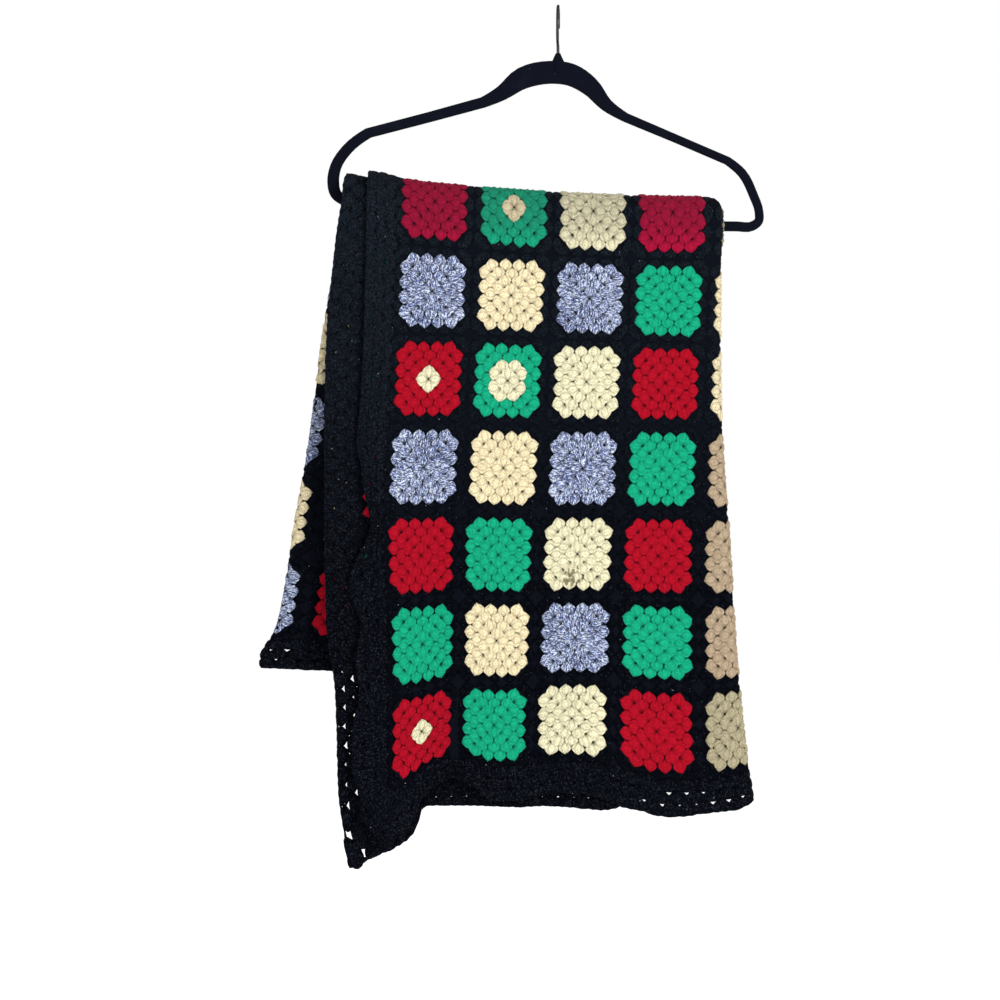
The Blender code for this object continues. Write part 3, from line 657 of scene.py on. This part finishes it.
CHAIN_INSET, CHAIN_RADIUS, CHAIN_STEP = 1.4, 1.35, 4.0
CHAIN_SIDES = 6
CHAIN_SWELL, CHAIN_TALLER = 0.22, 1.15


def chain_path():
    """A closed path round the blanket, a little inside its edge, as (u, v) points."""
    left, right = CHAIN_INSET, BLANKET_WIDTH - CHAIN_INSET
    low, high = CHAIN_INSET, BLANKET_LENGTH - CHAIN_INSET
    corners = [(left, low), (right, low), (right, high), (left, high)]
    points = []
    for (au, av), (bu, bv) in zip(corners, corners[1:] + corners[:1]):
        count = int(math.hypot(bu - au, bv - av) / CHAIN_STEP)
        points += [(au + (bu - au) * k / count, av + (bv - av) * k / count) for k in range(count)]
    return np.array(points)


def add_chain(name):
    """The chain of loops along the blanket's edge, thick and thin by turns."""
    path = chain_path()
    count = len(path)
    swell = 1 + CHAIN_SWELL * np.cos(np.arange(count) * math.pi)
    far = np.array([BLANKET_WIDTH, BLANKET_LENGTH])
    edge_u, edge_v = np.minimum(np.abs(path - CHAIN_INSET), np.abs(path - far + CHAIN_INSET)).T
    inward = np.where((edge_u < edge_v)[:, None], [[1.0, 0.0]], [[0.0, 1.0]])
    inward = inward * np.sign(far / 2 - path)
    angles = np.arange(CHAIN_SIDES) / CHAIN_SIDES * 2 * math.pi
    offset = np.cos(angles)[None, :] * CHAIN_RADIUS * swell[:, None]
    height = np.sin(angles)[None, :] * CHAIN_RADIUS * CHAIN_TALLER * swell[:, None]
    u = path[:, 0, None] + inward[:, 0, None] * offset
    v = path[:, 1, None] + inward[:, 1, None] * offset
    points = (drape_with_height(u, v, height) * MM).reshape(-1, 3)
    k = np.arange(count)[:, None]
    j = np.arange(CHAIN_SIDES)[None, :]
    after, beside = (k + 1) % count, (j + 1) % CHAIN_SIDES
    quads = np.stack([
        k * CHAIN_SIDES + j, after * CHAIN_SIDES + j,
        after * CHAIN_SIDES + beside, k * CHAIN_SIDES + beside], axis=-1)
    yarn = np.stack([
        np.broadcast_to(k * CHAIN_STEP, offset.shape), offset,
        np.full(offset.shape, CHAIN_INSET)], axis=-1)
    attributes = {
        "yarn": yarn.reshape(-1, 3), "tone": np.full(len(points), 0.5),
        "rise": np.full(len(points), 0.8),
    }
    return add_mesh(name, points, quads, (), attributes)


# ---------------------------------------------------------------- dark sheet of painted shade
SHADE_SHEET_INSET = BORDER - 1.5
SHADE_SHEET_HALF_THICKNESS = 0.4
# Its rows lie closer together between these two v, over the bar.
BAR_FROM, BAR_TO, BAR_STEP = 400.0, 560.0, 5.0
BACK_ROWS, FRONT_ROWS = 31, 44
FLAT_POINTS, FOLD_POINTS = 26, 9


def shade_sheet(name):
    """The thin near-black sheet behind the stitches, under the squares only, closed all round:
    painted shade seen through the gaps between clusters.
    """
    inset = SHADE_SHEET_INSET
    rows = np.concatenate([
        np.linspace(inset, BAR_FROM, BACK_ROWS, endpoint=False),
        np.arange(BAR_FROM, BAR_TO, BAR_STEP),
        np.linspace(BAR_TO, BLANKET_LENGTH - inset, FRONT_ROWS)])
    columns = []
    for v in rows:
        lines = [float(line) for line in fold_lines(v)]
        marks, start = [np.array([inset])], inset
        for line, fold in zip(lines, FOLDS):
            half = math.pi * fold_radius(fold) / 2
            marks.append(np.linspace(start, line - half, FLAT_POINTS)[1:])
            marks.append(np.linspace(line - half, line + half, FOLD_POINTS)[1:])
            start = line + half
        marks.append(np.linspace(start, BLANKET_WIDTH - inset, FLAT_POINTS)[1:])
        columns.append(np.concatenate(marks))
    u = np.array(columns)
    v = np.repeat(rows[:, None], u.shape[1], axis=1)
    high = drape_with_height(u, v, np.full_like(u, SHADE_SHEET_HALF_THICKNESS))
    low = drape_with_height(u, v, np.full_like(u, -SHADE_SHEET_HALF_THICKNESS))
    tall, wide = u.shape
    points = np.concatenate([high.reshape(-1, 3), low.reshape(-1, 3)]) * MM
    i, j = np.meshgrid(np.arange(tall - 1), np.arange(wide - 1), indexing="ij")
    a = (i * wide + j).ravel()
    face = np.stack([a, a + 1, a + wide + 1, a + wide], axis=-1)
    under = tall * wide
    quads = [face, face[:, ::-1] + under]
    rim = np.concatenate([
        np.arange(wide), (np.arange(1, tall) + 1) * wide - 1,
        (tall - 1) * wide + np.arange(wide - 2, -1, -1), np.arange(tall - 2, 0, -1) * wide])
    following = np.roll(rim, -1)
    quads.append(np.stack([following, rim, rim + under, following + under], axis=-1))
    return add_mesh(name, points, np.concatenate(quads))


# ---------------------------------------------------------------- materials
class Nodes:
    """Short names for the parts of a material's node tree."""

    def __init__(self, name):
        self.material = bpy.data.materials.new(name)
        self.material.use_nodes = True
        self.tree = self.material.node_tree
        self.shader = self.tree.nodes["Principled BSDF"]

    def add(self, kind, **settings):
        node = self.tree.nodes.new(kind)
        for key, value in settings.items():
            setattr(node, key, value)
        return node

    def link(self, source, target):
        self.tree.links.new(source, target)

    def attribute(self, name, output="Fac"):
        return self.add("ShaderNodeAttribute", attribute_name=name).outputs[output]

    def math(self, operation, a, b=0.0, clamp=False):
        node = self.add("ShaderNodeMath", operation=operation, use_clamp=clamp)
        for socket, value in zip(node.inputs, (a, b)):
            if isinstance(value, (int, float)):
                socket.default_value = value
            else:
                self.link(value, socket)
        return node.outputs[0]

    def mix(self, factor, a, b):
        node = self.add("ShaderNodeMix", data_type="RGBA")
        for socket, value in zip((node.inputs[0], node.inputs[6], node.inputs[7]), (factor, a, b)):
            if isinstance(value, (int, float)):
                socket.default_value = value
            elif isinstance(value, tuple):
                socket.default_value = (*value, 1.0)
            else:
                self.link(value, socket)
        return node.outputs[2]

    def noise(self, scale, detail, vector, roughness=0.5):
        node = self.add("ShaderNodeTexNoise")
        node.inputs["Scale"].default_value = scale
        node.inputs["Detail"].default_value = detail
        node.inputs["Roughness"].default_value = roughness
        self.link(vector, node.inputs["Vector"])
        return node.outputs["Fac"]

    def spread(self, value, low, high):
        node = self.add("ShaderNodeMapRange", interpolation_type="SMOOTHSTEP")
        self.link(value, node.inputs["Value"])
        node.inputs["From Min"].default_value = low
        node.inputs["From Max"].default_value = high
        return node.outputs["Result"]

    def cells(self, scale, vector):
        """Scattered points: each one's outputs are its distance and a colour of its own."""
        node = self.add("ShaderNodeTexVoronoi", feature="F1")
        node.inputs["Scale"].default_value = scale
        self.link(vector, node.inputs["Vector"])
        return node.outputs

    def bump(self, height, distance, strength):
        node = self.add("ShaderNodeBump")
        node.inputs["Strength"].default_value = strength
        node.inputs["Distance"].default_value = distance
        self.link(height, node.inputs["Height"])
        self.link(node.outputs["Normal"], self.shader.inputs["Normal"])


def marled(made, yarn, place, colour):
    """Three plies of different colours come to the top by turns, as short dashes."""
    dashes = made.add("ShaderNodeMapping")
    dashes.inputs["Scale"].default_value = (0.30, 1.05, 1.0)
    made.link(yarn, dashes.inputs["Vector"])
    tint = made.noise(1.0, 1.0, dashes.outputs[0])
    patch = made.math("SUBTRACT", made.noise(30.0, 1.0, place), 0.5)
    turn = made.math("ADD", tint, made.math("MULTIPLY", patch, 0.22))
    middle, dark = MARL_BLUES
    base = made.mix(made.spread(turn, 0.43, 0.48), dark, middle)
    return made.mix(made.spread(turn, 0.52, 0.57), base, colour)


def lint_and_glints(made, place, shown, share_of_glints):
    """Painted glints of loose fibre, and lint caught on the yarn."""
    glint = made.spread(made.noise(560.0, 3.0, place, 0.7), 0.52, 0.66)
    shown = made.mix(made.math("MULTIPLY", glint, share_of_glints), shown, GLINT)
    for scale, radius, share, tint in LINT:
        cells = made.cells(scale, place)
        near = made.math("LESS_THAN", cells["Distance"], radius)
        split = made.add("ShaderNodeSeparateColor")
        made.link(cells["Color"], split.inputs[0])
        chosen = made.math("LESS_THAN", split.outputs[0], share)
        shown = made.mix(made.math("MULTIPLY", near, chosen), shown, tint)
    return shown


def snagged(made, place, rise, shown):
    """A small patch where the yarn is snagged, ragged at its edge, on the yarn's lower parts."""
    flat = made.add("ShaderNodeVectorMath", operation="MULTIPLY")
    made.link(place, flat.inputs[0])
    flat.inputs[1].default_value = (1.0, 0.0, 1.0)
    apart = made.add("ShaderNodeVectorMath", operation="DISTANCE")
    made.link(flat.outputs["Vector"], apart.inputs[0])
    apart.inputs[1].default_value = SNAG
    torn = made.math("MULTIPLY", made.noise(190.0, 1.0, place), SNAG_RAGGED)
    away = made.math("ADD", apart.outputs["Value"], torn)
    snag = made.math("MULTIPLY", made.spread(away, *SNAG_FADE), made.spread(rise, 1.0, 0.8))
    return made.mix(made.math("MULTIPLY", snag, 0.9), shown, SNAG_COLOUR)


def painted_light_along_top(made, height, fibre, shown, black):
    """Painted shade along the top, where the blanket turns away over the bar; on the black, painted
    light instead, lighter and bluer towards the top.
    """
    if black:
        top_light = made.math("MULTIPLY", made.spread(height, *TOP_LIGHT_ON_BLACK_FROM_TO), 0.60)
        top_light = made.math("MULTIPLY", top_light, made.spread(fibre, 0.38, 0.66))
        return made.mix(top_light, shown, TOP_LIGHT_ON_BLACK)
    return made.mix(made.math("MULTIPLY", made.spread(height, *TOP_SHADE_FROM_TO), 0.38), shown, TOP_SHADE)


def yarn_material(name, code, glints=0.20):
    """Plied yarn over three posts: painted shade in the grooves and low between clusters, slanting
    plies, loose fibres painted lighter as a painted highlight, and painted shade along the top
    (painted light on the black).
    """
    colour, shade_and_tone_share = YARNS[code][1:]
    black = code == "K"
    made = Nodes(name)
    yarn = made.attribute("yarn", "Vector")
    parts = made.add("ShaderNodeSeparateXYZ")
    made.link(yarn, parts.inputs[0])
    along, sideways, which = parts.outputs
    place = made.add("ShaderNodeTexCoord").outputs["Object"]
    axes = made.add("ShaderNodeSeparateXYZ")
    made.link(place, axes.inputs[0])
    # The colour darkened by its share: the painted shade low between stitches, and also the dark end
    # of the random tone and of the fibre.
    shade_and_tone = tuple(c * shade_and_tone_share for c in colour)

    # Plies wind round every post, one slanting line each 1.7 mm.
    wander = made.math("MULTIPLY", made.noise(260.0, 2.0, place), PLY_WANDER)
    slant = made.math(
        "ADD", made.math("MULTIPLY", along, PLY_ALONG), made.math("MULTIPLY", sideways, PLY_SIDEWAYS))
    slant = made.math("ADD", made.math("ADD", slant, wander), which)
    ply = made.math("MULTIPLY_ADD", made.math("SINE", slant), 0.5)
    ply.node.inputs[2].default_value = 0.5
    # Painted shade: darker in the grooves between the posts, low between clusters and between the
    # plies' turns.
    post = made.math("COSINE", made.math("MULTIPLY", made.attribute("post"), POSTS * math.pi))
    groove = made.spread(made.math("MULTIPLY", post, -1.0), 0.25, 1.0)
    rise = made.attribute("rise")
    lit = made.math("SUBTRACT", made.spread(rise, 0.0, 0.85), made.math("MULTIPLY", groove, 0.34))
    lit = made.math("MULTIPLY", lit, made.math("ADD", made.math("MULTIPLY", ply, 0.40), 0.72), True)
    fibre = made.noise(820.0, 3.0, place, 0.65)

    base = marled(made, yarn, place, colour) if code == "B" else colour
    worn = made.mix(made.math("MULTIPLY", made.attribute("tone"), 0.16), base, shade_and_tone)
    worn = made.mix(made.math("MULTIPLY", made.spread(fibre, 0.51, 0.38), 0.70), worn, shade_and_tone)
    # Loose fibres painted lighter than the yarn: a painted highlight of fuzz catching the light.
    loose_fibre_highlight = tuple(min(1.0, c * 1.3 + (0.001 if black else 0.006)) for c in colour)
    worn = made.mix(made.math("MULTIPLY", made.spread(fibre, 0.53, 0.66), 0.75), worn, loose_fibre_highlight)
    # Painted shade laid over the yarn's colour where the mask above is low.
    shown = made.mix(lit, shade_and_tone, worn)
    if black:
        shown = lint_and_glints(made, place, shown, glints)
    if code == "W":
        shown = snagged(made, place, rise, shown)
    # Painted shade along the top over the bar, and painted light on the black there.
    shown = painted_light_along_top(made, axes.outputs[2], fibre, shown, black)
    made.link(shown, made.shader.inputs["Base Color"])
    made.shader.inputs["Roughness"].default_value = 0.9
    made.shader.inputs["Specular IOR Level"].default_value = 0.02 if black else 0.06
    relief = made.math("ADD", made.math("MULTIPLY", ply, 0.5), made.math("MULTIPLY", fibre, 0.8))
    relief = made.math("ADD", relief, made.math("MULTIPLY", post, 0.35))
    made.bump(relief, 0.0012, 1.0)
    return made.material


def shade_sheet_material(name):
    """Painted shade: the near-black seen between the stitches, where the layers behind lie in shade.
    """
    made = Nodes(name)
    place = made.add("ShaderNodeTexCoord").outputs["Object"]
    shown = made.mix(made.noise(500.0, 3.0, place), (0.0010, 0.0012, 0.0025), (0.004, 0.005, 0.009))
    made.link(shown, made.shader.inputs["Base Color"])
    made.shader.inputs["Roughness"].default_value = 0.95
    made.shader.inputs["Specular IOR Level"].default_value = 0.02
    made.bump(made.noise(700.0, 2.0, place), 0.0004, 0.6)
    return made.material


def flock_material(name):
    """Short velvet flocking over plastic, rubbed a little here and there."""
    made = Nodes(name)
    place = made.add("ShaderNodeTexCoord").outputs["Object"]
    fibre = made.noise(2600.0, 3.0, place, 0.65)
    brushed = made.noise(45.0, 3.0, place)
    shown = made.mix(fibre, (0.0010, 0.0014, 0.0034), (0.0038, 0.0048, 0.0105))
    rubbed = made.math("MULTIPLY", made.spread(brushed, 0.5, 0.75), 0.35)
    shown = made.mix(rubbed, shown, (0.0065, 0.0085, 0.0165))
    speck = made.math("LESS_THAN", made.cells(90.0, place)["Distance"], 0.035)
    shown = made.mix(made.math("MULTIPLY", speck, 0.3), shown, (0.15, 0.16, 0.19))
    made.link(shown, made.shader.inputs["Base Color"])
    made.shader.inputs["Roughness"].default_value = 0.9
    made.shader.inputs["Specular IOR Level"].default_value = 0.04
    made.shader.inputs["Sheen Weight"].default_value = 0.01
    made.shader.inputs["Sheen Roughness"].default_value = 0.4
    made.bump(fibre, 0.0004, 0.7)
    return made.material


def steel_material(name):
    """Dark plated wire with fine lines drawn along it."""
    made = Nodes(name)
    place = made.add("ShaderNodeTexCoord").outputs["Object"]
    stretch = made.add("ShaderNodeMapping")
    stretch.inputs["Scale"].default_value = (1.0, 0.25, 0.12)
    made.link(place, stretch.inputs["Vector"])
    lines = made.noise(2400.0, 3.0, stretch.outputs[0])
    shown = made.mix(lines, (0.035, 0.035, 0.036), (0.085, 0.085, 0.088))
    made.link(shown, made.shader.inputs["Base Color"])
    made.shader.inputs["Metallic"].default_value = 1.0
    made.shader.inputs["Specular Tint"].default_value = (0.30, 0.30, 0.30, 1.0)
    rough = made.add("ShaderNodeMapRange")
    made.link(lines, rough.inputs["Value"])
    rough.inputs["To Min"].default_value = 0.16
    rough.inputs["To Max"].default_value = 0.34
    made.link(rough.outputs["Result"], made.shader.inputs["Roughness"])
    made.bump(lines, 0.0001, 0.3)
    return made.material


YARNS = {
    # name, colour, share of it that is left between stitches: painted shade there, and also the
    # darkest of the random tone and fibre
    "R": ("red", (0.385, 0.0026, 0.0145), 0.58),
    # A bluer copy of the red, darker between stitches, for the top row on the bar: painted shade.
    "D": ("crimson", (0.40, 0.0038, 0.037), 0.50),
    "G": ("green", (0.0060, 0.375, 0.202), 0.54),
    "P": ("peach", (0.90, 0.76, 0.48), 0.40),
    "I": ("ivory", (0.86, 0.80, 0.53), 0.38),
    "C": ("cream", (0.80, 0.68, 0.44), 0.38),
    "B": ("marl", (0.72, 0.80, 0.98), 0.08),
    "W": ("worn_ivory", (0.86, 0.80, 0.53), 0.38),
    # Darker copies of the cream and the ivory for column 5, where it turns round the fold away from
    # the light: painted shade.
    "T": ("tan", (0.44, 0.335, 0.222), 0.50),
    "U": ("dull_ivory", (0.415, 0.364, 0.230), 0.50),
    "K": ("black", (0.0015, 0.0022, 0.0050), 0.25),
}
# The slant of the plies, in radians for each mm along and across a cluster, and its wander.
PLY_ALONG, PLY_SIDEWAYS, PLY_WANDER = 3.3, 1.9, 5.0
# The marl's middle and dark plies.
MARL_BLUES = ((0.11, 0.175, 0.50), (0.022, 0.036, 0.165))
# Lint on the black yarn: cells a metre, radius and share of the cells, colour.
LINT = ((430.0, 0.19, 0.22, (0.034, 0.040, 0.060)), (150.0, 0.062, 0.16, (0.30, 0.33, 0.40)))
# Painted glints on the black yarn: their colour.
GLINT = (0.019, 0.021, 0.029)
# Painted shade along the top, over the bar: its colour, and the heights between which it grows.
TOP_SHADE, TOP_SHADE_FROM_TO = (0.013, 0.006, 0.015), (-0.262, -0.212)
# Painted light on the black: lighter and bluer towards the top, between these heights.
TOP_LIGHT_ON_BLACK, TOP_LIGHT_ON_BLACK_FROM_TO = (0.016, 0.024, 0.033), (-0.62, -0.20)
# A snagged patch in one ivory square: its place (x, 0, z), its colour, the distances over which
# it fades, and how ragged it is.
SNAG, SNAG_COLOUR, SNAG_FADE = (0.011, 0.0, -0.573), (0.17, 0.15, 0.085), (0.0222, 0.0190)
SNAG_RAGGED = 0.030


# ---------------------------------------------------------------- stage
CAMERA_X, CAMERA_Z = -0.05858, -0.49692
CAMERA_DISTANCE, FRAME_WIDTH, SENSOR = 2.0, 1.010, 36.0
FLOOR_HALF, FLOOR_LEVEL = 60.0, -1.30
LIGHTS = (
    # name, place, aim, size, power
    ("key_light", (1.3, -2.6, 0.3), (0.0, 0, -0.5), 0.9, 62),
    ("fill_light", (-1.8, -2.0, 0.0), (0.0, 0, -0.5), 1.4, 9),
    ("back_light", (1.2, 2.4, 0.9), (0, 0, -0.4), 1.2, 26),
)


def add_camera():
    """The photograph's view: level, 2 m in front of the bar, 1.01 m across the frame there."""
    data = bpy.data.cameras.new("camera")
    data.sensor_width = SENSOR
    data.lens = SENSOR * CAMERA_DISTANCE / FRAME_WIDTH
    made = bpy.data.objects.new("camera", data)
    made.location = (CAMERA_X, -CAMERA_DISTANCE, CAMERA_Z)
    made.rotation_euler = (math.pi / 2, 0, 0)
    bpy.context.scene.collection.objects.link(made)
    bpy.context.scene.camera = made


def add_light(name, place, aim, size, power):
    """A round lamp at a place, turned to what it aims at."""
    data = bpy.data.lights.new(name, "AREA")
    data.shape = "DISK"
    data.size = size
    data.energy = power
    made = bpy.data.objects.new(name, data)
    made.location = place
    heading = np.array(aim, float) - np.array(place, float)
    flat = math.hypot(heading[0], heading[1])
    made.rotation_euler = (
        math.pi / 2 + math.atan2(heading[2], flat), 0, math.atan2(-heading[0], heading[1]))
    bpy.context.scene.collection.objects.link(made)


def add_stage():
    """A white studio: world, floor and three lamps."""
    world = bpy.data.worlds.new("studio")
    world.use_nodes = True
    back = world.node_tree.nodes["Background"]
    back.inputs["Color"].default_value = (1.0, 1.0, 1.0, 1.0)
    back.inputs["Strength"].default_value = 1.0
    bpy.context.scene.world = world
    bpy.context.scene.view_settings.view_transform = "Standard"

    half, level = FLOOR_HALF, FLOOR_LEVEL
    floor = add_mesh("studio_floor", np.array([
        (-half, -half, level), (half, -half, level), (half, half, level), (-half, half, level)]),
        [(0, 1, 2, 3)])
    made = Nodes("studio_floor")
    made.shader.inputs["Base Color"].default_value = (1.0, 1.0, 1.0, 1.0)
    made.shader.inputs["Roughness"].default_value = 0.9
    made.shader.inputs["Specular IOR Level"].default_value = 0.0
    floor.data.materials.append(made.material)

    for light in LIGHTS:
        add_light(*light)


# ---------------------------------------------------------------- the whole scene
def make_crochet(rng):
    """Every piece of stitches: the squares by yarn and detail, the border and its chain."""
    groups = {}
    for yarn, detail, *numbers in square_clusters():
        groups.setdefault((yarn, detail), []).append(numbers)
    finishes = {code: yarn_material("yarn_" + row[0], code) for code, row in YARNS.items()}
    pieces = []
    for (yarn, detail), table in sorted(groups.items()):
        place, shape = DETAILS[detail]
        piece = make_clusters(f"squares_{YARNS[yarn][0]}_{place}", shape, table, rng)
        piece.data.materials.append(finishes[yarn])
        pieces.append(piece)
    edging = yarn_material("yarn_black_border", "K", glints=0.80)
    for piece in (
        make_clusters("border_clusters", FINE, border_clusters(), rng, FAN),
        add_chain("border_chain"),
    ):
        piece.data.materials.append(edging)
        pieces.append(piece)
    return pieces


def print_triangles(pieces):
    total = 0
    for piece in pieces:
        piece.data.calc_loop_triangles()
        count = len(piece.data.loop_triangles)
        total += count
        print("TRIANGLES", piece.name, count)
    print("TRIANGLES in all", total)


def main():
    add_camera()
    add_stage()
    pieces = make_crochet(np.random.default_rng(SEED))
    # A near-black sheet under the stitches: painted shade seen through the gaps.
    shade_sheet_piece = shade_sheet("blanket_shade_sheet")
    shade_sheet_piece.data.materials.append(shade_sheet_material("painted_shade_sheet"))
    for piece in pieces + [shade_sheet_piece]:
        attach(piece, "root")
        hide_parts("blanket")

    for node, finish in (
        ("hanger_body", flock_material("flock")), ("hanger_hook", steel_material("hook_steel")),
    ):
        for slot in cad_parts[node].material_slots:
            slot.material = finish
    print_triangles(pieces + [shade_sheet_piece])


main()
